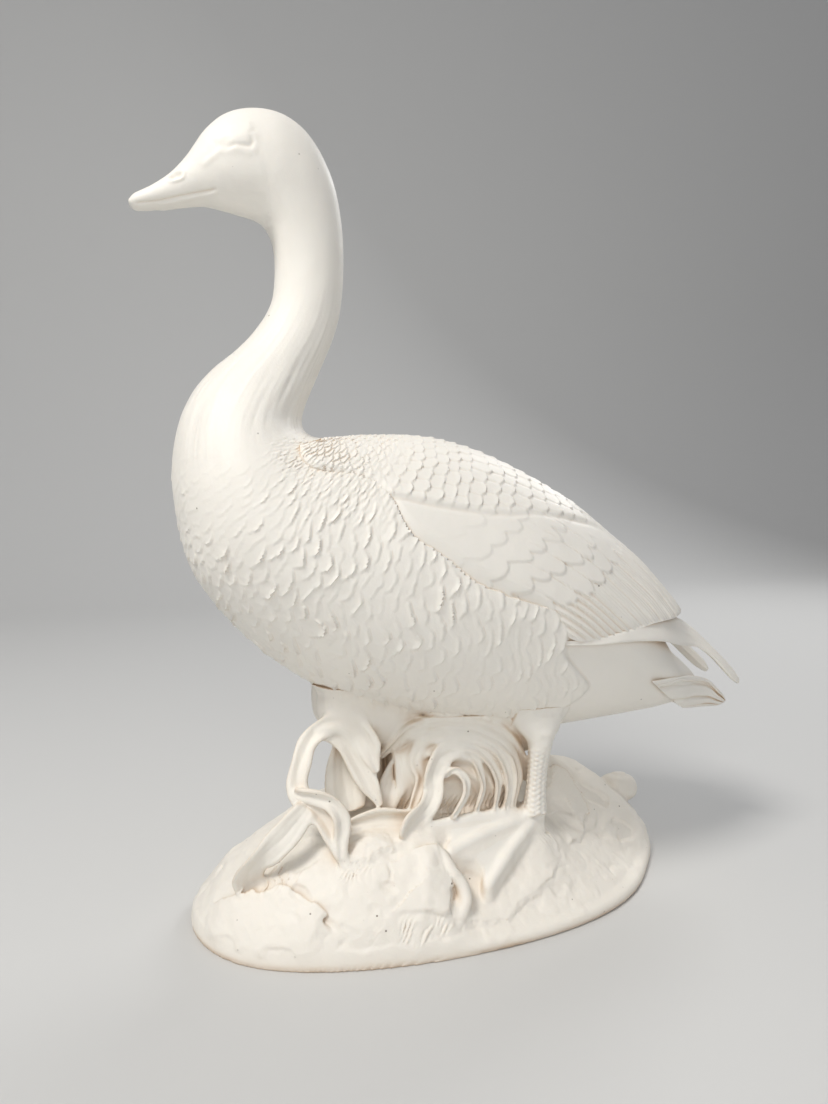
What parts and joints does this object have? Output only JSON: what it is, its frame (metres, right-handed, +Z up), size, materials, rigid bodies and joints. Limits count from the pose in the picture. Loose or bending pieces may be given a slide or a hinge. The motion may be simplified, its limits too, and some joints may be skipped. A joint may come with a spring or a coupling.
{
  "type": "goose figurine",
  "caption": "Unglazed white ceramic goose standing on an oval rockwork base among curling water-plant leaves, with relief feathers and folded wings",
  "frame": {"origin": "centre of the flat foot of the base, on the surface the figure stands on", "axes": "+Z up, the goose faces -X and its left side faces -Y"},
  "size_m": [0.3794, 0.1699, 0.4504],
  "materials": {
    "plumage": "warm white unglazed bisque, matt with a faint satin on the high feathers and tan in the hollows",
    "rock": "warm white unglazed bisque, matt, a little sandier and pitted",
    "foliage": "warm white unglazed bisque, smooth leaf faces with cream in the folds"
  },
  "bodies": {
    "root": {"base_shell": "rock", "rear_stone": "rock", "front_support": "rock", "leaf_clump": "foliage", "body_shell": "plumage", "neck_shell": "plumage", "head_shell": "plumage", "left_wing": "plumage", "right_wing": "plumage", "left_primaries": "plumage", "right_primaries": "plumage", "tail_feathers": "plumage", "left_leg": "plumage", "right_leg": "plumage", "left_foot": "plumage", "right_foot": "plumage", "loop_leaf": "foliage", "arch_leaf": "foliage", "strap_leaf": "foliage", "curled_leaf": "foliage", "folded_leaf": "foliage", "back_leaf": "foliage", "hooked_leaf": "foliage", "wavy_leaf": "foliage", "stem_leaf": "foliage", "flat_leaf": "foliage", "cross_leaf": "foliage", "fan_leaf_1": "foliage", "fan_leaf_2": "foliage", "fan_leaf_3": "foliage", "fan_leaf_4": "foliage", "fan_leaf_5": "foliage", "front_root": "rock", "far_arch_leaf": "foliage", "far_broad_leaf": "foliage", "far_wavy_leaf": "foliage", "far_fan_leaf_1": "foliage", "far_fan_leaf_2": "foliage"}
  },
  "joints": []
}
